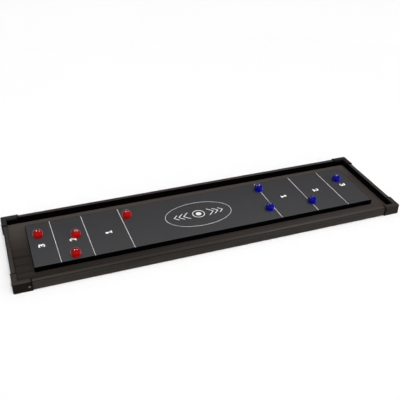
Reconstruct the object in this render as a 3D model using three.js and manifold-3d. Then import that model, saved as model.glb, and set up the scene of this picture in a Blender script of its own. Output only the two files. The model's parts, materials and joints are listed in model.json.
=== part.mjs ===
// A tabletop shuffleboard and curling game: a shallow wood-grain tray, a loose panel with a
// playing field on each side, and eight ball-bearing rollers, each with a steel ball under a cap.
// Millimetres, +Z up. X runs along the board and Y across it. The origin is on the table, under
// the middle of the board, and the players stand at -X and +X.
import * as THREE from 'three';
import { mergeVertices } from 'three/addons/utils/BufferGeometryUtils.js';
import Module from 'manifold-3d';

const wasm = await Module();
wasm.setup();

// ---- Driving dimensions --------------------------------------------------------------------

const board = { length: 1150, width: 324, height: 30 };      // over the four corner caps
const cap = { leg: 50, wall: 2, plate: 1.75, cornerRadius: 4, lipDrop: 7, lipWall: 1.5 };
const rail = { thickness: 11.5, topLip: 1.25 };
const floorBoard = { bottom: 3.5, top: 6.5, tongue: 5 };
const liner = { thickness: 1.5 };
const panel = { length: 1030, width: 205, bottom: 7.5, top: 22.5, sheet: 0.5, edgeBand: 1 };
const panelPlace = { x: 3, y: 4 };                           // it is loose and lies off-centre
const gripPad = { length: 60, width: 20, x: 400, y: 80 };
const foot = { radius: 9, x: [-480, 0, 480], y: 125 };
const screw = {
  headRadius: 3.25, headHeight: 1.75, seatGap: 0.05,         // the head just clears the cap
  shankRadius: 1.4, length: 10, tipRadius: 0.4, tipLength: 2, holeRadius: 1.7,
};
const screwFromCapEnd = 8;                                   // on the long faces
const screwFromCorner = 22;                                  // on the end faces
const roller = { radius: 14, height: 21.5, skirt: 8.5, clearance: 1, taper: 0.4 };
const ball = { radius: 6.35, runGap: 0.35, tableGap: 0.05 };
const retainer = { outerRadius: 9.25, height: 2.75, mouthRadius: 4.6, seatRadius: 6.3, fitGap: 0.35 };

// How many flat sides stand for one full turn of each round shape.
const sides = { screw: 12, foot: 20, roller: 24, retainer: 20, ball: 16, capCorner: 20 };

// Where each roller lies at the end of a round, on the panel.
const rollers = {
  red: [[-483.5, 44], [-382.5, 9.5], [-398.5, -77], [-223, 58]],
  blue: [[207.5, 68], [195, -42.5], [335.5, -49], [473, 43]],
};

// ---- Sizes that follow ---------------------------------------------------------------------

const outerX = board.length / 2 - cap.wall;                  // the rails' outer faces
const outerY = board.width / 2 - cap.wall;
const innerX = outerX - rail.thickness;                      // the rails' inner faces
const innerY = outerY - rail.thickness;
const railBottom = cap.plate;
const railTop = board.height - cap.plate;
const screwZ = board.height / 2;

// ---- Materials -----------------------------------------------------------------------------

const finish = (color, roughness, metalness = 0) => ({ color, roughness, metalness });
const finishes = {
  railWood: finish(0x3a3531, 0.5),
  floorWood: finish(0x352f2b, 0.55),
  blackTrim: finish(0x0b0a0a, 0.6),
  capPlastic: finish(0x25211f, 0.4),
  zinc: finish(0xb8b8b4, 0.35, 1),
  rubber: finish(0x161616, 0.9),
  core: finish(0x9b7d58, 0.8),
  greyField: finish(0x404042, 0.55),
  whiteField: finish(0xe8e8e6, 0.45),
  red: finish(0x9c090e, 0.2),
  blue: finish(0x181c58, 0.2),
  retainer: finish(0x1c1c1d, 0.45),
  steel: finish(0xc9cbce, 0.12, 1),
};

// ---- Building blocks -----------------------------------------------------------------------

const part = new THREE.Group();

function add(name, geometry, look) {
  const mesh = new THREE.Mesh(geometry, new THREE.MeshStandardMaterial(look));
  mesh.name = name;
  part.add(mesh);
}

function slab([x0, x1], [y0, y1], [z0, z1]) {
  const box = new THREE.BoxGeometry(x1 - x0, y1 - y0, z1 - z0);
  return box.translate((x0 + x1) / 2, (y0 + y1) / 2, (z0 + z1) / 2);
}

// A plan outline of [x, y] points, standing from z0 to z1.
function upright(outline, z0, z1, hole) {
  const shape = new THREE.Shape(outline.map(([x, y]) => new THREE.Vector2(x, y)));
  if (hole) shape.holes.push(new THREE.Path(hole.map(([x, y]) => new THREE.Vector2(x, y))));
  const solid = new THREE.ExtrudeGeometry(shape, { depth: z1 - z0, bevelEnabled: false });
  return solid.translate(0, 0, z0);
}

// A profile of [radius, height] points turned about +Z, ending on the axis or where it began.
function turned(profile, segments) {
  const points = profile.map(([r, z]) => new THREE.Vector2(r, z));
  return new THREE.LatheGeometry(points, segments).rotateX(Math.PI / 2);
}

function rectangle([x, y], length, width) {
  const [dx, dy] = [length / 2, width / 2];
  return [[x - dx, y - dy], [x + dx, y - dy], [x + dx, y + dy], [x - dx, y + dy]];
}

function toSolid(geometry) {
  const bare = geometry.clone();
  bare.deleteAttribute('normal');
  bare.deleteAttribute('uv');
  const merged = mergeVertices(bare, 1e-4);
  return new wasm.Manifold(new wasm.Mesh({
    numProp: 3,
    vertProperties: new Float32Array(merged.attributes.position.array),
    triVerts: new Uint32Array(merged.index.array),
  }));
}

function toGeometry(solid) {
  const mesh = solid.getMesh();
  const geometry = new THREE.BufferGeometry();
  geometry.setAttribute('position', new THREE.BufferAttribute(mesh.vertProperties, 3));
  geometry.setIndex(new THREE.BufferAttribute(mesh.triVerts, 1));
  return geometry;
}

function joined(first, ...others) {
  return others.reduce((solid, other) => solid.add(toSolid(other)), toSolid(first));
}

function drilled(solid, holes) {
  return toGeometry(holes.reduce((left, hole) => left.subtract(toSolid(hole)), solid));
}

// ---- Cap screws: where they go, and the holes that they need --------------------------------

const corners = {
  far_left: [-1, 1],
  far_right: [1, 1],
  near_left: [-1, -1],
  near_right: [1, -1],
};

// A geometry made along +Z, with its head at the top, turned to point out of a long face or an
// end face and moved to the screw's place on that face.
function onLongFace(geometry, [sx, sy]) {
  const x = sx * (board.length / 2 - cap.leg + screwFromCapEnd);
  return geometry.rotateX(-sy * Math.PI / 2).translate(x, sy * board.width / 2, screwZ);
}

function onEndFace(geometry, [sx, sy]) {
  const y = sy * (board.width / 2 - screwFromCorner);
  return geometry.rotateY(sx * Math.PI / 2).translate(sx * board.length / 2, y, screwZ);
}

function screwHole() {
  const depth = screw.length + 1;
  const hole = new THREE.CylinderGeometry(screw.holeRadius, screw.holeRadius, depth, sides.screw);
  return hole.rotateX(Math.PI / 2).translate(0, 0, 1 - depth / 2);
}

function screwBody() {
  const { headRadius, headHeight, seatGap, shankRadius, length, tipRadius, tipLength } = screw;
  const tip = -length + 1;
  return turned([
    [0, tip], [tipRadius, tip], [shankRadius, tip + tipLength], [shankRadius, seatGap],
    [headRadius, seatGap], [headRadius * 0.92, headHeight * 0.6],
    [headRadius * 0.6, headHeight * 0.93], [0, headHeight],
  ], sides.screw);
}

function addScrews() {
  for (const [place, corner] of Object.entries(corners)) {
    add(`cap_screw_${place}_side`, onLongFace(screwBody(), corner), finishes.zinc);
    add(`cap_screw_${place}_end`, onEndFace(screwBody(), corner), finishes.zinc);
  }
}

// ---- Tray ----------------------------------------------------------------------------------

// The rail's section, as [depth in from the outer face, height]: a groove holds the floor board
// and a shallow rebate under the top lip holds the black liner.
function railSection() {
  const groove = rail.thickness - floorBoard.tongue;
  const rebate = rail.thickness - liner.thickness;
  const lip = railTop - rail.topLip;
  return [
    [0, railBottom], [rail.thickness, railBottom], [rail.thickness, floorBoard.bottom],
    [groove, floorBoard.bottom], [groove, floorBoard.top], [rebate, floorBoard.top],
    [rebate, lip], [rail.thickness, lip], [rail.thickness, railTop], [0, railTop],
  ];
}

// A rail with mitred ends. Its outer face is halfLength long each way, `out` from the middle of
// the board, and each point moves in along both by its depth. `face` is the outward direction.
function mitredRail(halfLength, out, face) {
  const bar = upright(railSection(), 0, 1);
  const place = bar.attributes.position;
  for (let i = 0; i < place.count; i += 1) {
    const [depth, height, end] = [place.getX(i), place.getY(i), place.getZ(i)];
    const along = (1 - 2 * end) * (halfLength - depth);
    const away = out - depth;
    const x = face[0] * away + face[1] * along;
    const y = face[1] * away - face[0] * along;
    place.setXYZ(i, x, y, height);
  }
  return bar;
}

function addRails() {
  const rails = [
    ['rail_far', outerX, outerY, [0, 1]],
    ['rail_near', outerX, outerY, [0, -1]],
    ['rail_left', outerY, outerX, [-1, 0]],
    ['rail_right', outerY, outerX, [1, 0]],
  ];
  for (const [name, halfLength, out, face] of rails) {
    const holes = Object.values(corners)
      .filter(([sx, sy]) => sx === face[0] || sy === face[1])
      .map((corner) => (face[0] ? onEndFace : onLongFace)(screwHole(), corner));
    add(name, drilled(toSolid(mitredRail(halfLength, out, face)), holes), finishes.railWood);
  }
}

function addFloorBoard() {
  const x = innerX + floorBoard.tongue;
  const y = innerY + floorBoard.tongue;
  const geometry = slab([-x, x], [-y, y], [floorBoard.bottom, floorBoard.top]);
  add('tray_floor', geometry, finishes.floorWood);
}

function addLiners() {
  const height = [floorBoard.top, railTop - rail.topLip];
  const backX = innerX + liner.thickness;
  const backY = innerY + liner.thickness;
  add('liner_far', slab([-backX, backX], [innerY, backY], height), finishes.blackTrim);
  add('liner_near', slab([-backX, backX], [-backY, -innerY], height), finishes.blackTrim);
  add('liner_left', slab([-backX, -innerX], [-innerY, innerY], height), finishes.blackTrim);
  add('liner_right', slab([innerX, backX], [-innerY, innerY], height), finishes.blackTrim);
}

// An L-shaped plan band around one corner of the board, `inset` in from its outer faces and
// `width` wide, as points for the corner at +X +Y. The outer corner may be rounded.
function cornerBand(inset, width, radius = 0) {
  const [x, y] = [board.length / 2 - inset, board.width / 2 - inset];
  const [endX, endY] = [board.length / 2 - cap.leg, board.width / 2 - cap.leg];
  const steps = radius ? sides.capCorner / 4 : 0;
  const bend = [];
  for (let i = 0; i <= steps; i += 1) {
    const turn = steps ? (i / steps) * Math.PI / 2 : 0;
    bend.push([x - radius + radius * Math.cos(turn), y - radius + radius * Math.sin(turn)]);
  }
  const outline = radius ? bend : [[x, y]];
  return [
    [x - width, endY], [x, endY], ...outline, [endX, y], [endX, y - width],
    [x - width, y - width],
  ];
}

// A moulded cap is a C in section: top plate, outer wall, bottom plate, and a short lip that
// hangs inside the tray. The board stands on the bottom plates.
function cornerCap([sx, sy]) {
  const band = (inset, width, radius) => cornerBand(inset, width, radius)
    .map(([x, y]) => [sx * x, sy * y]);
  const topWidth = cap.wall + rail.thickness + cap.lipWall;
  const bottomWidth = cap.wall + rail.thickness;
  const lipInset = cap.wall + rail.thickness;
  const { height } = board;
  return joined(
    upright(band(0, cap.wall, cap.cornerRadius), 0, height),
    upright(band(0, topWidth, cap.cornerRadius), railTop, height),
    upright(band(0, bottomWidth, cap.cornerRadius), 0, railBottom),
    upright(band(lipInset, cap.lipWall), railTop - cap.lipDrop, height),
  );
}

function addCornerCaps() {
  for (const [place, corner] of Object.entries(corners)) {
    const holes = [onLongFace(screwHole(), corner), onEndFace(screwHole(), corner)];
    add(`corner_cap_${place}`, drilled(cornerCap(corner), holes), finishes.capPlastic);
  }
}

function addFeetAndPads() {
  for (const [side, sy] of [['far', 1], ['near', -1]]) {
    ['left', 'middle', 'right'].forEach((place, i) => {
      const height = floorBoard.bottom;
      const disc = new THREE.CylinderGeometry(foot.radius, foot.radius, height, sides.foot);
      disc.rotateX(Math.PI / 2).translate(foot.x[i], sy * foot.y, height / 2);
      add(`foot_${side}_${place}`, disc, finishes.rubber);
    });
    for (const [end, sx] of [['left', -1], ['right', 1]]) {
      const [x, y] = [sx * gripPad.x, sy * gripPad.y];
      const pad = slab(
        [x - gripPad.length / 2, x + gripPad.length / 2],
        [y - gripPad.width / 2, y + gripPad.width / 2],
        [floorBoard.top, panel.bottom],
      );
      add(`grip_pad_${side}_${end}`, pad, finishes.rubber);
    }
  }
}

// ---- Reversible panel ----------------------------------------------------------------------

function addPanel() {
  const { length, width, edgeBand } = panel;
  const middle = [panelPlace.x, panelPlace.y];
  const outline = rectangle(middle, length, width);
  const inside = rectangle(middle, length - 2 * edgeBand, width - 2 * edgeBand);
  const sheetTop = panel.bottom + panel.sheet;
  const sheetBottom = panel.top - panel.sheet;
  const band = upright(outline, panel.bottom, panel.top, inside);
  add('panel_edge_band', band, finishes.blackTrim);
  add('panel_core', upright(inside, sheetTop, sheetBottom), finishes.core);
  add('shuffleboard_sheet', upright(inside, sheetBottom, panel.top), finishes.greyField);
  add('curling_sheet', upright(inside, panel.bottom, sheetTop), finishes.whiteField);
}

// ---- Rollers -------------------------------------------------------------------------------

// Heights in these profiles are above the playing surface.
const ballCentre = ball.tableGap + ball.radius;
const retainerTop = roller.clearance + retainer.height;

function rollerShell() {
  const { radius, height, skirt, clearance, taper } = roller;
  const boreRadius = ball.radius + ball.runGap;
  const boreTop = ballCentre + boreRadius;
  const pocketRadius = retainer.outerRadius + retainer.fitGap;
  const shoulder = clearance + skirt;
  const profile = [
    [0, boreTop], [boreRadius, boreTop], [boreRadius, retainerTop + retainer.fitGap],
    [pocketRadius, retainerTop + retainer.fitGap], [pocketRadius, clearance],
    [radius - 2 * taper, clearance], [radius - taper, clearance + taper],
  ];
  const domeSteps = Math.ceil(sides.roller / 4) + 1;
  for (let i = 0; i <= domeSteps; i += 1) {
    const lift = (i / domeSteps) * Math.PI / 2;
    const r = i === domeSteps ? 0 : radius * Math.cos(lift);
    profile.push([r, shoulder + (height - shoulder) * Math.sin(lift)]);
  }
  return turned(profile, sides.roller);
}

function rollerRetainer() {
  const { outerRadius, mouthRadius, seatRadius } = retainer;
  return turned([
    [mouthRadius, roller.clearance], [outerRadius, roller.clearance],
    [outerRadius, retainerTop], [seatRadius, retainerTop], [mouthRadius, roller.clearance],
  ], sides.retainer);
}

// The sphere's poles lie along Y, the axis that it rolls about when it runs down the board.
function rollerBall() {
  const sphere = new THREE.SphereGeometry(ball.radius, sides.ball, sides.ball / 2);
  return sphere.translate(0, 0, ballCentre);
}

function addRollers() {
  for (const [colour, places] of Object.entries(rollers)) {
    places.forEach(([x, y], i) => {
      const at = (geometry) => geometry.translate(x, y, panel.top);
      const name = `${colour}_roller_${i + 1}`;
      add(`${name}_shell`, at(rollerShell()), finishes[colour]);
      add(`${name}_retainer`, at(rollerRetainer()), finishes.retainer);
      add(`${name}_ball`, at(rollerBall()), finishes.steel);
    });
  }
}

addFloorBoard();
addRails();
addLiners();
addCornerCaps();
addScrews();
addFeetAndPads();
addPanel();
addRollers();

export default part;
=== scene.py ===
"""The looks of a tabletop shuffleboard and curling game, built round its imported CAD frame.

Metres, +Z up. X runs along the board and Y across it, and the origin is on the table under the
middle of the board. Every size comes from the frame or from the named values below.
"""
import json
import math
import random

import bmesh
import bpy
from mathutils import Matrix, Quaternion, Vector

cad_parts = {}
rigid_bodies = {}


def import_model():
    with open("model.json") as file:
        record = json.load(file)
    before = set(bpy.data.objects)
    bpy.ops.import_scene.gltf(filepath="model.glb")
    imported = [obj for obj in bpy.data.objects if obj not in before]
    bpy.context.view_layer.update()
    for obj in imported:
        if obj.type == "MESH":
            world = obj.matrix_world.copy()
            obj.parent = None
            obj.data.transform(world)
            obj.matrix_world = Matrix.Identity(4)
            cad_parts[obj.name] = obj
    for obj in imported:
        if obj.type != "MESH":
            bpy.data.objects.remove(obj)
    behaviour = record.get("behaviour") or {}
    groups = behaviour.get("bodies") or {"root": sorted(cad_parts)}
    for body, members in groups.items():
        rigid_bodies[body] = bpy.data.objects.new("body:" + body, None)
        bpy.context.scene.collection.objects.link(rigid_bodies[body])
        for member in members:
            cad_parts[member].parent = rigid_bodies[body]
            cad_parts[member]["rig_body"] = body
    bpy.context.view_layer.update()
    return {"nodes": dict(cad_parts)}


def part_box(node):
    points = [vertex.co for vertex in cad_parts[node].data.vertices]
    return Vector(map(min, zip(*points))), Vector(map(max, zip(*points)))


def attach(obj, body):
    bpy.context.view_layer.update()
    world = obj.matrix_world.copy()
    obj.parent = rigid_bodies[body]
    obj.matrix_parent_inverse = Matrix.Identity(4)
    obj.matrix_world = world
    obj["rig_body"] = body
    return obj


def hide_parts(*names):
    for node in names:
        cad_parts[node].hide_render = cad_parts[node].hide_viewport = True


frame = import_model()

MM = 0.001
random.seed(7)

# ---- Sizes -----------------------------------------------------------------------------------

CAM_PLACE = Vector((-0.5594, -1.4665, 1.0690))
CAM_LOOK = Vector((0.2940, 0.7904, -0.5375))
CAM_ROLL = math.radians(0.79)     # about the line of sight
CAM_LENS = 56.83                  # mm
CAM_SENSOR = 36                   # mm, its width

CORNERS = {"far_left": (-1, 1), "far_right": (1, 1), "near_left": (-1, -1), "near_right": (1, -1)}
ROLLERS = [f"{colour}_roller_{i}" for colour in ("red", "blue") for i in range(1, 5)]

CAP_WALL = 2.0 * MM
CAP_PLATE = 1.75 * MM
CAP_CORNER = 4.0 * MM
CAP_LIP_WALL = 1.5 * MM
CAP_LIP_DROP = 7.0 * MM
CAP_BEAD = 0.35 * MM              # how far the rim at each end of a cap stands proud
CAP_BEAD_WIDTH = 3.0 * MM
FILM_FOLD = 1.3 * MM              # radius of the rails' outer top edge, where the film folds

SCREW_HEAD = (3.25 * MM, 1.75 * MM)   # radius and height
SCREW_SHANK = (1.4 * MM, 9.0 * MM)    # radius and length
# One screw head is painted darker than the others: painted shade, as it catches no light.
SCREW_IN_PAINTED_SHADE = "cap_screw_near_right_side"

ROLLER_SKIRT = 8.5 * MM           # the straight part of a roller's side, under its dome
ROLLER_GAP = 0.35 * MM            # between the cap and the ball, and round the retainer
RETAINER_MOUTH = 4.6 * MM         # radius of its opening at the foot, and at the top
RETAINER_SEAT = 6.3 * MM

INK = 0.03 * MM                   # printed ink above its sheet
INK_SUNK = 0.02 * MM              # and below the sheet's surface, so that the two meet
PRINT_TURN = math.radians(0.8)    # the field is printed slightly askew
LINE_WIDTH = 1.15 * MM
# Places on the printed field are measured from the middle of the panel.
ZONE_LINES = (-444.5 * MM, -353 * MM, -242.5 * MM, 208 * MM, 328.5 * MM, 432 * MM)
ZONE_DIGITS = ((3, -483 * MM), (2, -396.5 * MM), (1, -294 * MM),
               (1, 265 * MM), (2, 378 * MM), (3, 476 * MM))
DIGIT_DROP = {"left": 3.5 * MM, "right": 0.0}   # how far they lie towards -Y
DIGIT_SIZE = (14.5 * MM, 18.5 * MM)             # width and height
DIGIT_BOLD = 0.65 * MM            # how far the digits are thickened all round
BADGE = (-20 * MM, -1.5 * MM)     # the middle of the oval badge
OVAL = (103 * MM, 61 * MM)        # half its length and half its width
OVAL_LINE = 1.15 * MM

WORLD_COLOUR = (1.0, 0.995, 0.98, 1)
WORLD_STRENGTH = 0.16
# The broad lights, as (azimuth, elevation, strength, spread) with the angles in degrees. Azimuth 0
# comes from -Y and 90 from +X.
BROAD_LIGHTS = {"top_light": (0, 72, 2.2, 28), "front_light": (20, 40, 1.02, 70)}
# The softboxes that make the rollers glint: places and size in metres, power in watts.
GLINT_PLACES = {"glint_light_left": (-0.8, 1.15, 2.7), "glint_light_right": (1.5, 1.15, 2.6)}
GLINT_SIZE = (0.6, 0.25)
GLINT_POWER = 72
STUDIO_HALF = 9                   # half the side of the studio floor


# ---- Small tools -----------------------------------------------------------------------------

def centre_of(node):
    """The middle of a CAD node's box."""
    low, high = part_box(node)
    return (low + high) / 2


def body_of_node(node):
    return frame["nodes"][node]["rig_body"]


def new_object(name, mesh, material=None):
    piece = bpy.data.objects.new(name, mesh)
    bpy.context.scene.collection.objects.link(piece)
    if material:
        mesh.materials.append(material)
    return piece


def from_bmesh(name, bm, material=None, sharp=40):
    """An object from a bmesh, smooth shaded but with edges over `sharp` degrees kept sharp."""
    bmesh.ops.recalc_face_normals(bm, faces=bm.faces)
    for face in bm.faces:
        face.smooth = True
    for edge in bm.edges:
        edge.smooth = edge.is_manifold and edge.calc_face_angle(0) < math.radians(sharp)
    mesh = bpy.data.meshes.new(name)
    bm.to_mesh(mesh)
    bm.free()
    return new_object(name, mesh, material)


def stand_in(piece, slot, *nodes):
    """The piece takes the place of these CAD nodes, which are on one body. Its slot is not used."""
    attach(piece, body_of_node(nodes[0]))
    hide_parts(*nodes)
    return piece


def ride_with(piece, node):
    """A further piece on the body of a CAD node."""
    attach(piece, body_of_node(node))
    return piece


def lathe(profile, segments, closed_loop=False):
    """A bmesh of [radius, height] points turned about Z. Points at radius 0 become poles."""
    bm = bmesh.new()
    rings = []
    for radius, height in profile:
        if radius < 1e-9:
            rings.append([bm.verts.new((0, 0, height))])
            continue
        ring = []
        for i in range(segments):
            turn = 2 * math.pi * i / segments
            ring.append(bm.verts.new((radius * math.cos(turn), radius * math.sin(turn), height)))
        rings.append(ring)
    pairs = list(zip(rings, rings[1:]))
    if closed_loop:
        pairs.append((rings[-1], rings[0]))
    for low, high in pairs:
        for i in range(segments):
            j = (i + 1) % segments
            if len(low) == 1:
                bm.faces.new((low[0], high[j], high[i]))
            elif len(high) == 1:
                bm.faces.new((low[i], low[j], high[0]))
            else:
                bm.faces.new((low[i], low[j], high[j], high[i]))
    return bm


def rounded_profile(points, radii, steps=4):
    """A closed outline of (u, v) points whose corners are rounded by arcs of these radii."""
    outline = []
    count = len(points)
    for i, (point, radius) in enumerate(zip(points, radii)):
        here = Vector(point)
        back = (Vector(points[i - 1]) - here).normalized()
        ahead = (Vector(points[(i + 1) % count]) - here).normalized()
        if radius <= 0:
            outline.append(here)
            continue
        half = back.angle(ahead) / 2
        reach = radius / math.tan(half)
        middle = here + (back + ahead).normalized() * radius / math.sin(half)
        start, end = here + back * reach - middle, here + ahead * reach - middle
        sweep = start.angle_signed(end)
        for k in range(steps + 1):
            turned = start.copy()
            turned.rotate(Matrix.Rotation(-sweep * k / steps, 2))
            outline.append(middle + turned)
    return outline


def bevelled_box(name, low, high, radius, material, steps=3):
    """A slab with all its edges rounded."""
    bm = bmesh.new()
    bmesh.ops.create_cube(bm, size=1)
    size, middle = high - low, (low + high) / 2
    for vert in bm.verts:
        vert.co = Vector(c * s for c, s in zip(vert.co, size)) + middle
    bmesh.ops.bevel(bm, geom=list(bm.edges), offset=radius, segments=steps, profile=0.5,
                    affect="EDGES", clamp_overlap=True)
    return from_bmesh(name, bm, material)


# ---- Material tools --------------------------------------------------------------------------

class Paint:
    """A node material round one Principled shader, which is self.shader."""

    def __init__(self, name, **sockets):
        self.material = bpy.data.materials.new(name)
        self.material.use_nodes = True
        self.tree = self.material.node_tree
        self.shader = self.tree.nodes["Principled BSDF"]
        for socket, value in sockets.items():
            self.shader.inputs[socket.replace("_", " ")].default_value = value
        self.place = self.node("ShaderNodeTexCoord").outputs["Object"]

    def node(self, kind, inputs=None, **settings):
        made = self.tree.nodes.new(kind)
        for key, value in settings.items():
            setattr(made, key, value)
        for key, value in (inputs or {}).items():
            if isinstance(value, bpy.types.NodeSocket):
                self.tree.links.new(value, made.inputs[key])
            else:
                made.inputs[key].default_value = value
        return made

    def stretched(self, scale):
        """The piece's own coordinates in metres, times this scale along each axis."""
        return self.node("ShaderNodeVectorMath", {0: self.place, 1: scale},
                         operation="MULTIPLY").outputs[0]

    def noise(self, scale, detail=3.0, roughness=0.5, distortion=0.0):
        """Smooth noise between 0 and 1; scale is cells per metre along each axis."""
        spread = self.stretched(scale)
        return self.node("ShaderNodeTexNoise", {
            "Vector": spread, "Scale": 1.0, "Detail": detail, "Roughness": roughness,
            "Distortion": distortion}).outputs["Fac"]

    def math(self, operation, a, b=0.0, clamp=False):
        return self.node("ShaderNodeMath", {0: a, 1: b}, operation=operation,
                         use_clamp=clamp).outputs[0]

    def remap(self, value, low, high, to_low=0.0, to_high=1.0):
        return self.node("ShaderNodeMapRange", {
            "Value": value, "From Min": low, "From Max": high,
            "To Min": to_low, "To Max": to_high}).outputs["Result"]

    def ramp(self, value, stops):
        made = self.node("ShaderNodeValToRGB", {"Fac": value})
        elements = made.color_ramp.elements
        while len(elements) < len(stops):
            elements.new(0.5)
        for element, (position, colour) in zip(elements, stops):
            element.position = position
            element.color = (*colour, 1)
        return made.outputs["Color"]

    def mix(self, share, a, b, blend="MIX"):
        made = self.node("ShaderNodeMix", data_type="RGBA", blend_type=blend)
        for socket, value in ((made.inputs[0], share), (made.inputs[6], a), (made.inputs[7], b)):
            if isinstance(value, bpy.types.NodeSocket):
                self.tree.links.new(value, socket)
            else:
                socket.default_value = value if isinstance(value, float) else (*value, 1)
        return made.outputs[2]

    def set(self, socket, value):
        self.tree.links.new(value, self.shader.inputs[socket])

    def bump(self, height, depth, strength=1.0):
        """Relief whose full height is `depth` metres."""
        made = self.node("ShaderNodeBump", {"Height": height, "Strength": strength,
                                            "Distance": depth})
        self.tree.links.new(made.outputs["Normal"], self.shader.inputs["Normal"])


# ---- Materials -------------------------------------------------------------------------------

def wood_film(name, along, dark, light, red, roughness, specular=0.165, painted_light=False):
    """Dark printed wood-grain film: long soft streaks, fine pores, and a reddish drift.

    `along` is 0 where the grain runs along X, and 1 where it runs along Y. Where asked, the upper
    side is painted paler towards +Y and +X: painted light, for the brighter far and right of the
    floor.
    """
    paint = Paint(name, Roughness=roughness, Specular_IOR_Level=specular)

    def grain(length_scale, cross_scale):
        scale = [cross_scale] * 3
        scale[along] = length_scale
        return tuple(scale)

    streaks = paint.noise(grain(3, 190), detail=5, roughness=0.62, distortion=0.4)
    figure = paint.noise(grain(1.6, 34), detail=2, roughness=0.5, distortion=1.2)
    pores = paint.noise(grain(45, 1500), detail=2, roughness=0.6)
    drift = paint.noise(grain(2.2, 9), detail=1)
    fibre = paint.math("ADD", paint.math("MULTIPLY", streaks, 0.6),
                       paint.math("MULTIPLY", figure, 0.4))
    body = paint.ramp(fibre, [(0.36, dark), (0.5, tuple((a + b) / 2 for a, b in zip(dark, light))),
                              (0.66, light)])
    warm = paint.mix(paint.remap(drift, 0.5, 0.7, 0.0, 0.55), body, red)
    pore_shade = paint.remap(pores, 0.28, 0.42, 0.55, 1.0)
    colour = paint.mix(1.0, warm, paint.ramp(pore_shade, [(0.0, (0, 0, 0)), (1.0, (1, 1, 1))]),
                       blend="MULTIPLY")
    # Painted light: the upper side is painted paler towards +Y and +X, where the floor looks more
    # brightly lit.
    if painted_light:
        x, y, z = paint.node("ShaderNodeSeparateXYZ", {0: paint.place}).outputs
        share = paint.math("MAXIMUM", paint.remap(y, 0.0, 0.135, 0.0, 0.85),
                           paint.remap(x, -0.4, 0.45, 0.04, 0.42))
        upper = paint.remap(z, *(corner.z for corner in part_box("tray_floor")))
        colour = paint.mix(paint.math("MULTIPLY", share, upper), colour, GRAIN_PAINTED_LIGHT)
    paint.set("Base Color", colour)
    paint.set("Roughness", paint.remap(streaks, 0.3, 0.7, roughness + 0.07, roughness - 0.05))
    paint.bump(paint.math("ADD", pore_shade, paint.math("MULTIPLY", streaks, 0.6)),
               0.05 * MM, 0.5)
    return paint.material


def moulded_plastic(name, colour, roughness, specular=0.45, worn=None, top=None):
    """Satin moulded plastic with a fine etched texture.

    `worn` is the colour of its rubbed edges, and `top` is a painted light: a tone of its own for
    the upward faces, for how the light falls on them.
    """
    paint = Paint(name, Specular_IOR_Level=specular)
    texture = paint.noise((1400, 1400, 1400), detail=2, roughness=0.6)
    smear = paint.noise((60, 60, 60), detail=3)
    shade = paint.mix(paint.remap(smear, 0.4, 0.75, 0.0, 0.35), colour,
                      tuple(min(1.0, c * 1.6 + 0.003) for c in colour))
    # Painted light: the upward faces are painted in their own tone, for how the light falls on
    # them.
    if top:
        facing = paint.node("ShaderNodeTexCoord").outputs["Normal"]
        upward = paint.node("ShaderNodeSeparateXYZ", {0: facing}).outputs[2]
        shade = paint.mix(paint.remap(upward, 0.6, 0.95, 0.0, 1.0), shade, top)
    if worn:
        edge = paint.node("ShaderNodeNewGeometry").outputs["Pointiness"]
        shade = paint.mix(paint.remap(edge, 0.53, 0.62, 0.0, 0.6), shade, worn)
    paint.set("Base Color", shade)
    paint.set("Roughness", paint.remap(smear, 0.3, 0.7, roughness - 0.06, roughness + 0.08))
    paint.bump(texture, 0.02 * MM, 0.6)
    return paint.material


def lining_felt(name, colour):
    """Matte black lining: short fibres, no gloss."""
    paint = Paint(name, Roughness=0.95, Specular_IOR_Level=0.04)
    fibres = paint.noise((1900, 1900, 700), detail=3, roughness=0.7, distortion=0.8)
    patches = paint.noise((40, 40, 40), detail=2)
    tone = paint.mix(paint.remap(fibres, 0.35, 0.7, 0.0, 1.0), colour,
                     tuple(c * 2.4 for c in colour))
    paint.set("Base Color", paint.mix(paint.remap(patches, 0.3, 0.7, 0.0, 0.3), tone,
                                      tuple(c * 0.6 for c in colour)))
    paint.bump(fibres, 0.12 * MM, 0.8)
    return paint.material


def printed_film(name, colour, roughness, specular=0.4, tint=0.06):
    """A flat printed plastic sheet: even ink, a faint orange peel, hairline scuffs."""
    paint = Paint(name, Specular_IOR_Level=specular)
    mottle = paint.noise((24, 24, 24), detail=4, roughness=0.6)
    speckle = paint.noise((2600, 2600, 2600), detail=1)
    scuffs = paint.noise((60, 900, 60), detail=2, distortion=1.5)
    tone = paint.mix(paint.remap(mottle, 0.3, 0.7, 0.0, 1.0),
                     tuple(c * (1 - tint) for c in colour), tuple(c * (1 + tint) for c in colour))
    tone = paint.mix(paint.remap(speckle, 0.62, 0.8, 0.0, 0.12), tone,
                     tuple(min(1.0, c * 1.5 + 0.02) for c in colour))
    paint.set("Base Color", tone)
    shine = paint.math("ADD", paint.remap(mottle, 0.3, 0.7, roughness - 0.04, roughness + 0.04),
                       paint.remap(scuffs, 0.66, 0.74, 0.0, 0.08))
    paint.set("Roughness", shine)
    paint.bump(paint.noise((420, 420, 420), detail=2), 0.01 * MM, 0.35)
    return paint.material


def screen_ink(name, colour, roughness=0.5):
    """Opaque printed ink with tiny pinholes and a slightly uneven coat."""
    paint = Paint(name, Specular_IOR_Level=0.4)
    coat = paint.noise((90, 90, 90), detail=3)
    pinholes = paint.noise((3200, 3200, 3200), detail=1)
    tone = paint.mix(paint.remap(coat, 0.3, 0.7, 0.0, 1.0), tuple(c * 0.95 for c in colour), colour)
    paint.set("Base Color", paint.mix(paint.remap(pinholes, 0.7, 0.85, 0.0, 0.4), tone,
                                      tuple(c * 0.5 for c in colour)))
    paint.set("Roughness", paint.remap(coat, 0.3, 0.7, roughness - 0.05, roughness + 0.05))
    return paint.material


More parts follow.
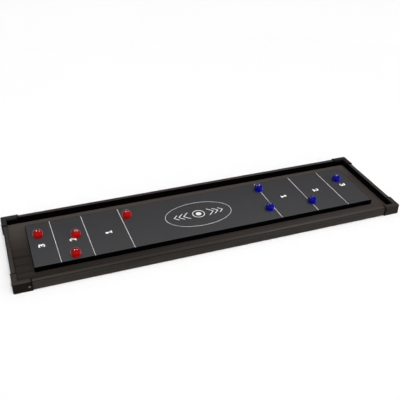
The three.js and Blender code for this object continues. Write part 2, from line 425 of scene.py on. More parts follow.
def glossy_plastic(name, crown, waist, foot, specular=0.25):
    """Glossy moulded plastic, a little translucent, with painted shading: deepest at the crown and
    brightest round the waist, for how the light falls through it.
    """
    paint = Paint(name, Roughness=0.12, Specular_IOR_Level=specular, Sheen_Weight=0.5,
                  Sheen_Roughness=0.3)
    low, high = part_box("red_roller_1_shell")
    flow = paint.noise((70, 70, 140), detail=3, distortion=0.6)
    haze = paint.noise((260, 260, 260), detail=2)
    # Painted shading: with height the colour runs from the foot to a bright waist and a dark crown.
    height = paint.node("ShaderNodeSeparateXYZ", {0: paint.place}).outputs[2]
    rise = paint.math("ADD", paint.remap(height, low.z, high.z), paint.remap(flow, 0, 1, -0.1, 0.1))
    paint.set("Base Color", paint.ramp(rise, [(0.1, foot), (0.5, waist), (0.95, crown)]))
    paint.set("Roughness", paint.remap(haze, 0.35, 0.75, 0.09, 0.2))
    paint.bump(flow, 0.02 * MM, 0.25)
    return paint.material


def bright_metal(name, colour, roughness):
    """Plated or polished steel: fine scratches and a little tarnish."""
    paint = Paint(name, Metallic=1.0)
    scratches = paint.noise((900, 900, 900), detail=3, roughness=0.7, distortion=0.5)
    tarnish = paint.noise((300, 300, 300), detail=2)
    paint.set("Base Color", paint.mix(paint.remap(tarnish, 0.45, 0.8, 0.0, 0.5), colour,
                                      tuple(c * 0.7 for c in colour)))
    paint.set("Roughness", paint.remap(scratches, 0.3, 0.7, roughness * 0.7, roughness * 1.4))
    paint.bump(scratches, 0.01 * MM, 0.3)
    return paint.material


def soft_rubber(name, colour):
    """Matte rubber or foam with a little dust in its pores."""
    paint = Paint(name, Specular_IOR_Level=0.3)
    dust = paint.noise((500, 500, 500), detail=4, roughness=0.7)
    paint.set("Base Color", paint.mix(paint.remap(dust, 0.5, 0.8, 0.0, 0.4), colour,
                                      tuple(c + 0.05 for c in colour)))
    paint.set("Roughness", paint.remap(dust, 0.3, 0.7, 0.75, 0.95))
    paint.bump(dust, 0.05 * MM, 0.5)
    return paint.material


def fibreboard(name):
    """Raw board of pressed wood fibres."""
    paint = Paint(name, Roughness=0.9, Specular_IOR_Level=0.2)
    fibres = paint.noise((900, 900, 2600), detail=4, roughness=0.7, distortion=0.6)
    paint.set("Base Color", paint.ramp(fibres, [(0.3, (0.20, 0.12, 0.065)),
                                                (0.7, (0.42, 0.29, 0.17))]))
    paint.bump(fibres, 0.1 * MM, 0.6)
    return paint.material


GRAIN_DARK = (0.0125, 0.0092, 0.0070)
GRAIN_LIGHT = (0.029, 0.0235, 0.0188)
GRAIN_RED = (0.034, 0.0205, 0.0155)
# The pale tone of the painted light on the floor film.
GRAIN_PAINTED_LIGHT = (0.074, 0.065, 0.058)
FOLD_SHADE = 0.35                 # the film darkens where it is folded over an edge


def folded(colour):
    return tuple(c * FOLD_SHADE for c in colour)


# The sides and the tops of the caps, painted light and shade: each cap is painted lighter or darker
# as the light falls on it, and its top apart from its sides.
CAP_PAINTED_TONES = {"far_left": ((0.022, 0.020, 0.019), (0.021, 0.019, 0.018)),
             "far_right": ((0.010, 0.0085, 0.008), (0.010, 0.0085, 0.008)),
             "near_left": ((0.0055, 0.0036, 0.0024), (0.030, 0.025, 0.0215)),
             "near_right": ((0.019, 0.0135, 0.012), (0.026, 0.022, 0.019))}

MATERIALS = {
    "rail_x": wood_film("rail_film_long", 0, GRAIN_DARK, GRAIN_LIGHT, GRAIN_RED, 0.42),
    "rail_y": wood_film("rail_film_end", 1, GRAIN_DARK, GRAIN_LIGHT, GRAIN_RED, 0.42),
    "fold_x": wood_film("rail_fold_long", 0, folded(GRAIN_DARK), folded(GRAIN_LIGHT),
                        folded(GRAIN_RED), 0.6, specular=0.06),
    "fold_y": wood_film("rail_fold_end", 1, folded(GRAIN_DARK), folded(GRAIN_LIGHT),
                        folded(GRAIN_RED), 0.6, specular=0.06),
    # The tray floor's film carries the painted light, paler towards +Y and +X.
    "floor": wood_film("floor_film", 0, GRAIN_DARK, GRAIN_LIGHT, GRAIN_RED,
                       0.55, specular=0.03, painted_light=True),
    "lining": lining_felt("black_lining", (0.0012, 0.0009, 0.0009)),
    "edge": moulded_plastic("panel_edge_plastic", (0.0006, 0.0006, 0.0006), 0.8, specular=0.03),
    # Each cap's own side and top tones are painted light and shade.
    **{f"cap_{place}": moulded_plastic(f"cap_plastic_{place}", side, 0.5, specular=0.065,
                                       worn=(0.03, 0.027, 0.025), top=top)
       for place, (side, top) in CAP_PAINTED_TONES.items()},
    # Near black, a painted shadow: the dark gap where each cap ends against its rails.
    "cap_shadow_rim": moulded_plastic("cap_rim_plastic", (0.0012, 0.001, 0.001), 0.7, specular=0.05),
    "zinc": bright_metal("zinc_plate", (0.22, 0.21, 0.20), 0.42),
    # A darker zinc that paints shade on one screw head.
    "shaded_zinc": bright_metal("dull_zinc_plate", (0.05, 0.045, 0.042), 0.5),
    "rubber": soft_rubber("black_rubber", (0.012, 0.012, 0.012)),
    "pad": soft_rubber("grip_foam", (0.02, 0.02, 0.021)),
    "core": fibreboard("fibreboard"),
    "grey_film": printed_film("grey_field", (0.038, 0.038, 0.0405), 0.62, specular=0.09),
    "white_film": printed_film("white_field", (0.80, 0.80, 0.79), 0.4, tint=0.015),
    "ink_white": screen_ink("ink_white", (0.86, 0.86, 0.86)),
    "ink_bright": screen_ink("ink_bright", (0.97, 0.97, 0.97)),
    "ink_red": screen_ink("ink_red", (0.52, 0.012, 0.02)),
    "ink_blue": screen_ink("ink_blue", (0.018, 0.035, 0.33)),
    "ink_grey": screen_ink("ink_grey", (0.35, 0.35, 0.36)),
    "ink_black": screen_ink("ink_black", (0.012, 0.012, 0.013)),
    "red": glossy_plastic("red_plastic", (0.21, 0.002, 0.001), (0.62, 0.0006, 0.0008),
                          (0.45, 0.002, 0.003)),
    "blue": glossy_plastic("blue_plastic", (0.001, 0.002, 0.14), (0.001, 0.001, 0.36),
                           (0.003, 0.004, 0.30), specular=0.32),
    "retainer": moulded_plastic("retainer_plastic", (0.012, 0.012, 0.013), 0.4),
    "steel": bright_metal("bearing_steel", (0.74, 0.75, 0.76), 0.08),
}


# ---- Camera, light and floor -----------------------------------------------------------------

def make_camera():
    data = bpy.data.cameras.new("camera")
    data.sensor_width = CAM_SENSOR
    data.lens = CAM_LENS
    camera = bpy.data.objects.new("camera", data)
    camera.location = CAM_PLACE
    level = CAM_LOOK.to_track_quat("-Z", "Y")
    camera.rotation_euler = (level @ Quaternion((0, 0, 1), CAM_ROLL)).to_euler()
    bpy.context.scene.collection.objects.link(camera)
    bpy.context.scene.camera = camera


def broad_light(name, azimuth, elevation, strength, spread):
    """An even light from far away, so large and soft that it makes no highlight."""
    data = bpy.data.lights.new(name, "SUN")
    data.energy = strength
    data.angle = math.radians(spread)
    light = bpy.data.objects.new(name, data)
    turn, rise = math.radians(azimuth), math.radians(elevation)
    source = Vector((math.sin(turn) * math.cos(rise), -math.cos(turn) * math.cos(rise),
                     math.sin(rise)))
    light.rotation_euler = (-source).to_track_quat("-Z", "Y").to_euler()
    light.visible_glossy = False
    bpy.context.scene.collection.objects.link(light)


def glint_light(name, place):
    """A softbox over the board that is seen only as a highlight on glossy pieces."""
    data = bpy.data.lights.new(name, "AREA")
    data.shape = "RECTANGLE"
    data.size, data.size_y = GLINT_SIZE
    data.energy = GLINT_POWER
    light = bpy.data.objects.new(name, data)
    light.location = place
    light.rotation_euler = (-Vector(place)).to_track_quat("-Z", "Y").to_euler()
    light.visible_diffuse = False
    bpy.context.scene.collection.objects.link(light)


def make_studio():
    scene = bpy.context.scene
    scene.view_settings.view_transform = "Standard"
    world = bpy.data.worlds.new("studio")
    world.use_nodes = True
    background = world.node_tree.nodes["Background"]
    background.inputs["Color"].default_value = WORLD_COLOUR
    background.inputs["Strength"].default_value = WORLD_STRENGTH
    scene.world = world
    for name, setting in BROAD_LIGHTS.items():
        broad_light(name, *setting)
    for name, place in GLINT_PLACES.items():
        glint_light(name, place)

    mesh = bpy.data.meshes.new("floor")
    half = STUDIO_HALF
    mesh.from_pydata([(-half, -half, 0), (half, -half, 0), (half, half, 0), (-half, half, 0)],
                     [], [(0, 1, 2, 3)])
    paint = Paint("studio_floor", Roughness=0.85, Specular_IOR_Level=0.2)
    soft = paint.noise((1.2, 1.2, 1.2), detail=2)
    paint.set("Base Color", paint.mix(paint.remap(soft, 0.3, 0.7, 0.0, 1.0),
                                      (0.965, 0.965, 0.965), (0.975, 0.975, 0.975)))
    new_object("floor", mesh, paint.material)


# ---- Tray ------------------------------------------------------------------------------------

def rail_piece(side):
    """A rail with softly rounded edges and mitred ends, made from its CAD box."""
    node = f"rail_{side}"
    low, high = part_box(node)
    lies_along_x = side in ("far", "near")
    outward = 1 if side in ("far", "right") else -1
    across = 1 if lies_along_x else 0
    out = high[across] if outward > 0 else -low[across]
    half = high[1 - across]
    thickness = high[across] - low[across]
    floor_low, floor_high = (corner.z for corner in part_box("tray_floor"))
    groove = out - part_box("tray_floor")[1][across]
    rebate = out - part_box("liner_far" if lies_along_x else "liner_right")[1][across]
    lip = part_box("liner_far")[1].z
    section = rounded_profile(
        [(0, low.z), (thickness, low.z), (thickness, floor_low), (groove, floor_low),
         (groove, floor_high), (rebate, floor_high), (rebate, lip), (thickness, lip),
         (thickness, high.z), (0, high.z)],
        [0.8 * MM, 0.5 * MM, 0, 0, 0, 0, 0, 0.2 * MM, 0.5 * MM, FILM_FOLD])
    fold = max(height for depth, height in section) - FILM_FOLD
    bm = bmesh.new()
    stations = 25
    rings = []
    for k in range(stations):
        share = 2 * k / (stations - 1) - 1
        ring = []
        for depth, height in section:
            along, away = share * (half - depth), outward * (out - depth)
            ring.append(bm.verts.new((along, away, height) if lies_along_x
                                     else (away, along, height)))
        rings.append(ring)
    count = len(section)
    for near, far in zip(rings, rings[1:]):
        for i in range(count):
            j = (i + 1) % count
            face = bm.faces.new((near[i], near[j], far[j], far[i]))
            depth, height = (section[i] + section[j]) / 2
            if depth < FILM_FOLD and height > fold:
                face.material_index = 1
    bm.faces.new(rings[0])
    bm.faces.new(rings[-1])
    grain = "x" if lies_along_x else "y"
    piece = from_bmesh(f"{node}_film", bm, MATERIALS[f"rail_{grain}"], sharp=35)
    piece.data.materials.append(MATERIALS[f"fold_{grain}"])
    stand_in(piece, "rail_wood", node)


def cap_section():
    """A cap's section as (depth in from the outer face, height), with its edges rounded."""
    low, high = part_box("corner_cap_far_right")
    rail_low, rail_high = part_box("rail_far")
    thickness = rail_high.y - rail_low.y
    inner = CAP_WALL + thickness
    top, bottom = high.z, low.z
    edge = 1.0 * MM
    return rounded_profile(
        [(0, bottom), (inner, bottom), (inner, bottom + CAP_PLATE),
         (CAP_WALL, bottom + CAP_PLATE), (CAP_WALL, top - CAP_PLATE),
         (inner, top - CAP_PLATE), (inner, top - CAP_LIP_DROP),
         (inner + CAP_LIP_WALL, top - CAP_LIP_DROP), (inner + CAP_LIP_WALL, top), (0, top)],
        [edge, 0.5 * MM, 0.4 * MM, 0, 0, 0, 0.4 * MM, 0.4 * MM, 0.9 * MM, edge])


def cap_piece(place, sides):
    """A moulded corner cap: its section swept round the corner, with a proud rim at each end."""
    node = f"corner_cap_{place}"
    low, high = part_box("corner_cap_far_right")
    leg = high.x - low.x
    section = cap_section()
    inner_edge = max(depth for depth, height in section)
    # Stations along one leg, as (distance from the corner, how far the rim stands proud).
    stations = [(leg, 0.0), (leg - 0.3 * MM, CAP_BEAD), (leg - CAP_BEAD_WIDTH, CAP_BEAD),
                (leg - CAP_BEAD_WIDTH - 0.5 * MM, 0.0), (leg * 0.62, 0.0), (inner_edge, 0.0)]
    corner_steps = 6
    bm = bmesh.new()

    def ring_at(place_of):
        ring = []
        for depth, height in section:
            x, y, lift = place_of(depth)
            proud_y = lift if depth < 0.3 * MM else 0.0
            proud_z = lift if height > high.z - 0.3 * MM else 0.0
            ring.append((x, y + proud_y, height + proud_z))
        return ring

    def on_x_leg(distance, lift):
        return ring_at(lambda depth: (high.x - distance, high.y - depth, lift))

    def on_bend(share):
        angle = math.pi / 2 * (1 - share)

        def spot(depth):
            radius = max(0.0, CAP_CORNER - depth)
            centre = max(CAP_CORNER, depth)
            return (high.x - centre + radius * math.cos(angle),
                    high.y - centre + radius * math.sin(angle), 0.0)
        return ring_at(spot)

    x_leg = [on_x_leg(distance, lift) for distance, lift in stations]
    bend = [on_bend(i / corner_steps) for i in range(corner_steps + 1)]
    # The other leg is this one mirrored in the corner's diagonal.
    shift = high.x - high.y
    y_leg = [[(y + shift, x - shift, z) for x, y, z in ring] for ring in reversed(x_leg)]
    sx, sy = sides
    rings = [[bm.verts.new((sx * x, sy * y, z)) for x, y, z in ring]
             for ring in x_leg + bend + y_leg]
    count = len(section)
    rim_steps = 3
    # The rims at both ends and the end faces take the near-black rim material, a painted shadow for
    # the gap against the rails.
    for k, (back, ahead) in enumerate(zip(rings, rings[1:])):
        for i in range(count):
            j = (i + 1) % count
            face = bm.faces.new((back[i], back[j], ahead[j], ahead[i]))
            if k < rim_steps or k >= len(rings) - 1 - rim_steps:
                face.material_index = 1
    for end in (rings[0], rings[-1]):
        bm.faces.new(end).material_index = 1
    bmesh.ops.remove_doubles(bm, verts=bm.verts, dist=0.001 * MM)
    bmesh.ops.dissolve_degenerate(bm, edges=bm.edges, dist=0.001 * MM)
    piece = from_bmesh(f"{node}_moulding", bm, MATERIALS[f"cap_{place}"], sharp=32)
    piece.data.materials.append(MATERIALS["cap_shadow_rim"])
    stand_in(piece, "cap_plastic", node)


def screw_mesh():
    """A pan-head screw along +Z with a cross recess and a pointed, threaded shank."""
    head, height = SCREW_HEAD
    shank, length = SCREW_SHANK
    tip = 1 * MM
    profile = [(0, -length)]
    thread_turns = 9
    for k in range(thread_turns):
        z = tip - length + k * 0.8 * MM
        profile += [(shank * 0.72, z), (shank, z + 0.25 * MM), (shank * 0.72, z + 0.5 * MM)]
    profile += [(shank * 0.8, 0.02 * MM), (head * 0.97, 0.02 * MM), (head, 0.18 * MM)]
    for k in range(1, 7):
        lift = math.radians(15 * k)
        profile.append((head * math.cos(lift), 0.25 * MM + (height - 0.25 * MM) * math.sin(lift)))
    bm = lathe(profile, 40)
    head_piece = from_bmesh("screw_blank", bm)
    cutter = bmesh.new()
    for turn in (0, math.pi / 2):
        made = bmesh.ops.create_cube(cutter, size=1)
        for vert in made["verts"]:
            taper = 1.0 if vert.co.z > 0 else 0.55
            vert.co = Vector((vert.co.x * 4.0 * MM * taper, vert.co.y * 0.8 * MM * taper,
                              height * 0.75 + vert.co.z * 1.9 * MM))
            vert.co.rotate(Matrix.Rotation(turn, 3, "Z"))
    cross = from_bmesh("screw_cross", cutter)
    cut = head_piece.modifiers.new("cross", "BOOLEAN")
    cut.operation = "DIFFERENCE"
    cut.object = cross
    cut.use_self = True
    graph = bpy.context.evaluated_depsgraph_get()
    mesh = bpy.data.meshes.new_from_object(head_piece.evaluated_get(graph))
    for spent in (head_piece, cross):
        bpy.data.objects.remove(spent)
    mesh.materials.clear()
    mesh.materials.append(MATERIALS["zinc"])
    return mesh


def screw_pieces():
    blank = screw_mesh()
    for place, (sx, sy) in CORNERS.items():
        for face, outward in (("side", Vector((0, sy, 0))), ("end", Vector((sx, 0, 0)))):
            node = f"cap_screw_{place}_{face}"
            low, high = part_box(node)
            axis = 1 if face == "side" else 0
            middle = (low + high) / 2
            sign = outward[axis]
            tip = high[axis] if sign > 0 else low[axis]
            middle[axis] = tip - sign * SCREW_HEAD[1]
            twist = Matrix.Rotation(random.uniform(0, math.pi / 2), 4, "Z")
            turn = outward.to_track_quat("Z", "Y").to_matrix().to_4x4()
            mesh = blank.copy()
            mesh.transform(Matrix.Translation(middle) @ turn @ twist)
            # Painted shade: this screw head is coloured darker, as it catches no light.
            if node == SCREW_IN_PAINTED_SHADE:
                mesh.materials[0] = MATERIALS["shaded_zinc"]
            stand_in(new_object(f"{node}_cross_head", mesh), "screw_zinc", node)


def foot_pieces():
    """Moulded rubber feet with a rounded rim and a hollow sole."""
    for side in ("far", "near"):
        for place in ("left", "middle", "right"):
            node = f"foot_{side}_{place}"
            low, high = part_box(node)
            radius, height = (high.x - low.x) / 2, high.z - low.z
            profile = [(0, 0.5 * MM), (radius * 0.5, 0.4 * MM), (radius * 0.62, 0.05 * MM),
                       (radius * 0.68, 0), (radius * 0.8, 0), (radius * 0.88, 0.2 * MM),
                       (radius * 0.92, 0.7 * MM), (radius, height - 0.6 * MM),
                       (radius, height - 0.02 * MM), (0, height - 0.02 * MM)]
            bm = lathe(profile, 48)
            middle = centre_of(node)
            bmesh.ops.translate(bm, verts=bm.verts, vec=(middle.x, middle.y, low.z))
            stand_in(from_bmesh(f"{node}_rubber", bm, MATERIALS["rubber"]), "rubber", node)


def grip_pad_pieces():
    """Foam pads with round corners and a raised dot grid that the panel rests on."""
    for side in ("far", "near"):
        for place in ("left", "right"):
            node = f"grip_pad_{side}_{place}"
            low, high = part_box(node)
            dot_height = 0.25 * MM
            top = high.z - dot_height
            size = high - low
            outline = rounded_profile(
                [(low.x, low.y), (high.x, low.y), (high.x, high.y), (low.x, high.y)],
                [3 * MM] * 4)
            bm = bmesh.new()
            sole = [bm.verts.new((x, y, low.z)) for x, y in outline]
            deck = [bm.verts.new((x, y, top)) for x, y in outline]
            for i, here in enumerate(sole):
                j = (i + 1) % len(sole)
                bm.faces.new((here, sole[j], deck[j], deck[i]))
            bm.faces.new(sole)
            bm.faces.new(deck)
            pitch = 4 * MM
            for i in range(1, int(size.x / pitch)):
                for j in range(1, int(size.y / pitch)):
                    spot = Vector((low.x + i * pitch, low.y + j * pitch, top + dot_height / 2))
                    bmesh.ops.create_cone(bm, cap_ends=True, segments=10, radius1=1.2 * MM,
                                          radius2=0.9 * MM, depth=dot_height,
                                          matrix=Matrix.Translation(spot))
            stand_in(from_bmesh(f"{node}_foam", bm, MATERIALS["pad"]), "rubber", node)


def paint_node(node, material):
    """A CAD node that keeps its shape and gets a better material."""
    piece = frame["nodes"][node]
    piece.data.materials.clear()
    piece.data.materials.append(material)


def make_tray():
    paint_node("tray_floor", MATERIALS["floor"])
    for side in ("far", "near", "left", "right"):
        rail_piece(side)
        paint_node(f"liner_{side}", MATERIALS["lining"])
    for place, sides in CORNERS.items():
        cap_piece(place, sides)
    screw_pieces()
    foot_pieces()
    grip_pad_pieces()


# ---- Panel and its printed fields ------------------------------------------------------------

def edge_band():
    """The black band round the panel's edge, with its outer edges eased."""
    low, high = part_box("panel_edge_band")
    middle, half = (low + high) / 2, (high - low) / 2
    band = high.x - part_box("panel_core")[1].x
    section = rounded_profile([(0, low.z), (band, low.z), (band, high.z), (0, high.z)],
                              [0.45 * MM, 0.05 * MM, 0.05 * MM, 0.45 * MM])
    corner = 0.8 * MM
    steps = 5
    bm = bmesh.new()
    rings = []
    for quarter, (sx, sy) in enumerate(((1, 1), (-1, 1), (-1, -1), (1, -1))):
        for k in range(steps + 1):
            angle = math.pi / 2 * (quarter + k / steps)
            ring = []
            for depth, height in section:
                inset, radius = max(corner, depth), max(0.0, corner - depth)
                ring.append(bm.verts.new((
                    middle.x + sx * (half.x - inset) + radius * math.cos(angle),
                    middle.y + sy * (half.y - inset) + radius * math.sin(angle), height)))
            rings.append(ring)
    count = len(section)
    for k, ring in enumerate(rings):
        ahead = rings[(k + 1) % len(rings)]
        for i in range(count):
            j = (i + 1) % count
            bm.faces.new((ring[i], ring[j], ahead[j], ahead[i]))
    bmesh.ops.remove_doubles(bm, verts=bm.verts, dist=0.001 * MM)
    bmesh.ops.dissolve_degenerate(bm, edges=bm.edges, dist=0.001 * MM)
    stand_in(from_bmesh("panel_edge_banding", bm, MATERIALS["edge"]), "panel_edge",
             "panel_edge_band")


class Ink:
    """Flat printed shapes on one face of the panel, as one thin piece.

    `up` is 1 on the top sheet, and -1 on the sheet underneath. Points are measured from the
    middle of the panel, and turned about it.
    """

    def __init__(self, name, material, slot, up=1, layer=0, turn=0.0):
        self.name, self.material, self.slot = name, material, slot
        self.node = "shuffleboard_sheet" if up > 0 else "curling_sheet"
        low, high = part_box(self.node)
        self.place = Matrix.Translation((low + high) / 2) @ Matrix.Rotation(turn, 4, "Z")
        surface = high.z if up > 0 else low.z
        self.levels = (surface - up * INK_SUNK, surface + up * (INK + layer * 0.3 * INK))
        self.bm = bmesh.new()

    def shape(self, outline, hole=None):
        """A filled outline, or the band between it and a hole with as many points."""
        def rings(points):
            spots = [self.place @ Vector((x, y, 0)) for x, y in points]
            return ([self.bm.verts.new((spot.x, spot.y, z)) for spot in spots]
                    for z in self.levels)

        base, face = rings(outline)
        count = len(outline)
        steps = [(i, (i + 1) % count) for i in range(count)]
        for i, j in steps:
            self.bm.faces.new((base[i], base[j], face[j], face[i]))
        if hole is None:
            self.bm.faces.new(base)
            self.bm.faces.new(face)
            return
        inner_base, inner_face = rings(hole)
        for i, j in steps:
            self.bm.faces.new((inner_base[i], inner_base[j], inner_face[j], inner_face[i]))
            self.bm.faces.new((base[i], base[j], inner_base[j], inner_base[i]))
            self.bm.faces.new((face[i], face[j], inner_face[j], inner_face[i]))

    def bar(self, x0, x1, y0, y1):
        self.shape([(x0, y0), (x1, y0), (x1, y1), (x0, y1)])

    def ellipse(self, x, y, radii, width=None, points=96):
        """A filled ellipse, or just its outline when it has a width."""
        def edge(inset):
            return [(x + (radii[0] - inset) * math.cos(2 * math.pi * i / points),
                     y + (radii[1] - inset) * math.sin(2 * math.pi * i / points))
                    for i in range(points)]
        self.shape(edge(0), edge(width) if width else None)

    def chevron(self, x, y, way, size, width):
        """An open arrowhead at (x, y) that points along `way`, 1 for +X and -1 for -X."""
        tip, back = x + way * size / 2, x - way * size / 2
        self.shape([(back, y + size), (back + way * width, y + size), (tip + way * width, y),
                    (back + way * width, y - size), (back, y - size), (tip, y)])

    def done(self):
        bmesh.ops.recalc_face_normals(self.bm, faces=self.bm.faces)
        mesh = bpy.data.meshes.new(self.name)
        self.bm.to_mesh(mesh)
        self.bm.free()
        piece = new_object(self.name, mesh, self.material)
        return ride_with(piece, self.node)


def emblem(ink, x, y):
    """The oval badge: an outline, and a generic sign of a roller and the two ways that it runs."""
    ring, ring_line, dot = 19 * MM, 2.4 * MM, 8.5 * MM
    ink.ellipse(x, y, OVAL, width=OVAL_LINE, points=128)
    ink.ellipse(x, y, (ring, ring), width=ring_line, points=64)
    ink.ellipse(x, y, (dot, dot), points=48)
    for way in (-1, 1):
        for k in range(3):
            ink.chevron(x + way * (37 + 16 * k) * MM, y, way, (17 - 2.5 * k) * MM, 3.2 * MM)


def digit_one(name, x, y, quarter_turn):
    """The digit 1, with its flag and its foot."""
    width, height = DIGIT_SIZE
    stem, foot, flag = 0.15 * width, 0.42 * width, 0.46 * width
    outline = [(-foot, 0), (foot, 0), (foot, 0.17 * height), (stem, 0.17 * height),
               (stem, height), (-stem, height), (-flag, 0.78 * height), (-flag, 0.6 * height),
               (-stem, 0.74 * height), (-stem, 0.17 * height), (-foot, 0.17 * height)]
    way = 1 if quarter_turn > 0 else -1
    ink = Ink(name, MATERIALS["ink_bright"], "shuffleboard_print", turn=PRINT_TURN)
    ink.shape([(x - way * (v - height / 2), y + way * u) for u, v in outline])
    ink.done()


def digit_from_font(name, digit, x, y, quarter_turn):
    """A digit in the plain built-in typeface, thickened and then stretched to its size."""
    text = bpy.data.curves.new(name, "FONT")
    text.body = str(digit)
    text.size = DIGIT_SIZE[1] * 1.3
    text.offset = DIGIT_BOLD
    text.extrude = (INK + INK_SUNK) / 2
    text.resolution_u = 12
    flat = bpy.data.objects.new("digit_outline", text)
    bpy.context.scene.collection.objects.link(flat)
    graph = bpy.context.evaluated_depsgraph_get()
    mesh = bpy.data.meshes.new_from_object(flat.evaluated_get(graph))
    bpy.data.objects.remove(flat)
    lows, highs = ([pick(v.co[i] for v in mesh.vertices) for i in (0, 1)] for pick in (min, max))
    middle = Vector(((lows[0] + highs[0]) / 2, (lows[1] + highs[1]) / 2, 0))
    scale = [size / (high - low) for size, low, high in zip(DIGIT_SIZE, lows, highs)]
    sheet_low, sheet_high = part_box("shuffleboard_sheet")
    panel_middle = (sheet_low + sheet_high) / 2
    panel_middle.z = sheet_high.z + (INK - INK_SUNK) / 2
    mesh.transform(Matrix.Translation(panel_middle) @ Matrix.Rotation(PRINT_TURN, 4, "Z")
                   @ Matrix.Translation((x, y, 0)) @ Matrix.Rotation(quarter_turn, 4, "Z")
                   @ Matrix.Diagonal((*scale, 1, 1)) @ Matrix.Translation(-middle))
    mesh.materials.clear()
    ride_with(new_object(name, mesh, MATERIALS["ink_bright"]), "shuffleboard_sheet")


def shuffleboard_print():
    """The dark side: lines between the scoring zones, a digit in each zone, and the badge."""
    low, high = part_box("shuffleboard_sheet")
    reach = (high.y - low.y) / 2 - 0.3 * MM
    slant = reach * math.tan(PRINT_TURN)
    half = LINE_WIDTH / 2
    lines = Ink("zone_lines", MATERIALS["ink_white"], "shuffleboard_print")
    for x in ZONE_LINES:
        lines.shape([(x + slant - half, -reach), (x + slant + half, -reach),
                     (x - slant + half, reach), (x - slant - half, reach)])
    lines.done()
    badge = Ink("shuffleboard_badge", MATERIALS["ink_white"], "shuffleboard_print",
                turn=PRINT_TURN)
    emblem(badge, *BADGE)
    badge.done()
    for digit, x in ZONE_DIGITS:
        # Each digit is read from the end of the board that it is nearer to.
        quarter_turn = math.copysign(math.pi / 2, -x)
        end = "left" if x < 0 else "right"
        name = f"zone_digit_{digit}_{end}"
        if digit == 1:
            digit_one(name, x, -DIGIT_DROP[end], quarter_turn)
        else:
            digit_from_font(name, digit, x, -DIGIT_DROP[end], quarter_turn)


def curling_print():
    """The ice side: a house of rings at each end, hog lines and centre lines."""
    low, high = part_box("curling_sheet")
    reach = (high.y - low.y) / 2 - 1 * MM
    blue = Ink("curling_rings_blue", MATERIALS["ink_blue"], "curling_print", up=-1)
    red = Ink("curling_rings_red", MATERIALS["ink_red"], "curling_print", up=-1)
    buttons = Ink("curling_buttons", MATERIALS["ink_white"], "curling_print", up=-1, layer=1)
    lines = Ink("curling_lines", MATERIALS["ink_grey"], "curling_print", up=-1)
    badge = Ink("curling_badge", MATERIALS["ink_black"], "curling_print", up=-1)
    outer, outer_band, inner, button = 68 * MM, 24 * MM, 22 * MM, 5 * MM
    thin = 0.8 * MM
    for way in (-1, 1):
        house = way * 420 * MM
        blue.ellipse(house, 0, (outer, outer), width=outer_band)
        red.ellipse(house, 0, (inner, inner))
        buttons.ellipse(house, 0, (button, button), points=48)
        hog = way * 292 * MM
        lines.bar(hog - thin, hog + thin, -reach, reach)
        start, end = sorted((way * 114 * MM, way * 350 * MM))
        lines.bar(start, end, -thin, thin)
        start, end = sorted((way * 66 * MM, way * reach))
        lines.bar(-thin, thin, start, end)
    emblem(badge, 0, 0)
    for ink in (blue, red, buttons, lines, badge):
        ink.done()


def make_panel():
    paint_node("panel_core", MATERIALS["core"])
    edge_band()
    for node, material, slot in (("shuffleboard_sheet", "grey_film", "shuffleboard_print"),
                                 ("curling_sheet", "white_film", "curling_print")):
        low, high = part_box(node)
        piece = bevelled_box(f"{node}_film", low, high, 0.12 * MM, MATERIALS[material])
        stand_in(piece, slot, node)
    shuffleboard_print()
    curling_print()


# ---- Rollers ---------------------------------------------------------------------------------

def roller_outline(radius, low, shoulder, top):
    """The outside of a roller cap from its foot to its crown, as (radius, height)."""
    outline = [(radius - 0.9 * MM, low), (radius - 0.5 * MM, low + 0.12 * MM),
               (radius - 0.38 * MM, low + 0.5 * MM)]
    # A fine parting line runs round the skirt.
    seam = low + 2.2 * MM
    outline += [(radius - 0.27 * MM, seam - 0.25 * MM), (radius - 0.45 * MM, seam - 0.1 * MM),
                (radius - 0.45 * MM, seam + 0.1 * MM), (radius - 0.24 * MM, seam + 0.25 * MM)]
    outline.append((radius - 0.1 * MM, (seam + shoulder) / 2))
    dome_steps = 22
    for k in range(dome_steps + 1):
        lift = math.pi / 2 * k / dome_steps
        r = radius * math.cos(lift)
        if r < 2.4 * MM:
            break
        outline.append((r, shoulder + (top - shoulder) * math.sin(lift)))
    # The moulding gate leaves a shallow flat dimple on the crown.
    outline += [(2.3 * MM, top - 0.2 * MM), (2.0 * MM, top - 0.34 * MM), (0, top - 0.36 * MM)]
    return outline


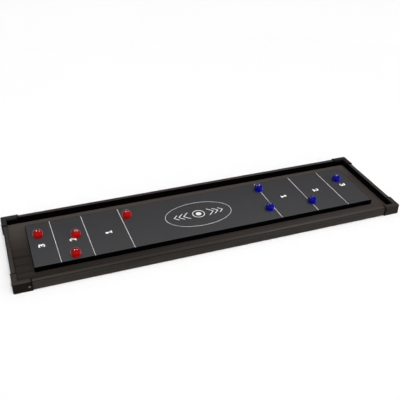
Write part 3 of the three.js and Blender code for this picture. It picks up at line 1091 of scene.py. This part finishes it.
def roller_pieces(name, colour):
    shell_low, shell_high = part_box(f"{name}_shell")
    ring_low, ring_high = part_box(f"{name}_retainer")
    ball_low, ball_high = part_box(f"{name}_ball")
    middle = centre_of(f"{name}_shell")
    radius = (shell_high.x - shell_low.x) / 2
    ring_radius = (ring_high.x - ring_low.x) / 2
    ball_radius = (ball_high.z - ball_low.z) / 2
    bore = ball_radius + ROLLER_GAP
    bore_top = ball_high.z + ROLLER_GAP
    shoulder = shell_low.z + ROLLER_SKIRT
    inside = [(0, bore_top), (bore * 0.6, bore_top), (bore, bore_top - 2 * MM),
              (bore, ring_high.z + ROLLER_GAP),
              (ring_radius + ROLLER_GAP, ring_high.z + ROLLER_GAP),
              (ring_radius + ROLLER_GAP, shell_low.z + 0.3 * MM),
              (ring_radius + 2 * ROLLER_GAP, shell_low.z)]
    bm = lathe(inside + roller_outline(radius, shell_low.z, shoulder, shell_high.z), 72)
    bmesh.ops.translate(bm, verts=bm.verts, vec=(middle.x, middle.y, 0))
    piece = from_bmesh(f"{name}_cap", bm, MATERIALS[colour], sharp=30)
    stand_in(piece, f"{colour}_shell", f"{name}_shell")

    soft = 0.25 * MM
    ring = [(RETAINER_MOUTH, ring_low.z + soft), (RETAINER_MOUTH + soft, ring_low.z),
            (ring_radius - soft, ring_low.z), (ring_radius, ring_low.z + soft),
            (ring_radius, ring_high.z - soft), (ring_radius - soft, ring_high.z),
            (RETAINER_SEAT + soft, ring_high.z), (RETAINER_SEAT, ring_high.z - soft)]
    bm = lathe(ring, 60, closed_loop=True)
    bmesh.ops.translate(bm, verts=bm.verts, vec=(middle.x, middle.y, 0))
    piece = from_bmesh(f"{name}_snap_ring", bm, MATERIALS["retainer"])
    stand_in(piece, "roller_retainer", f"{name}_retainer")

    bm = bmesh.new()
    bmesh.ops.create_uvsphere(bm, u_segments=48, v_segments=24, radius=ball_radius)
    bmesh.ops.rotate(bm, verts=bm.verts, matrix=Matrix.Rotation(math.pi / 2, 3, "X"))
    bmesh.ops.translate(bm, verts=bm.verts, vec=centre_of(f"{name}_ball"))
    piece = from_bmesh(f"{name}_bearing_ball", bm, MATERIALS["steel"])
    stand_in(piece, "ball_steel", f"{name}_ball")


def make_rollers():
    for name in ROLLERS:
        roller_pieces(name, name.split("_")[0])


# ---- The whole -------------------------------------------------------------------------------

make_camera()
make_studio()
make_tray()
make_panel()
make_rollers()
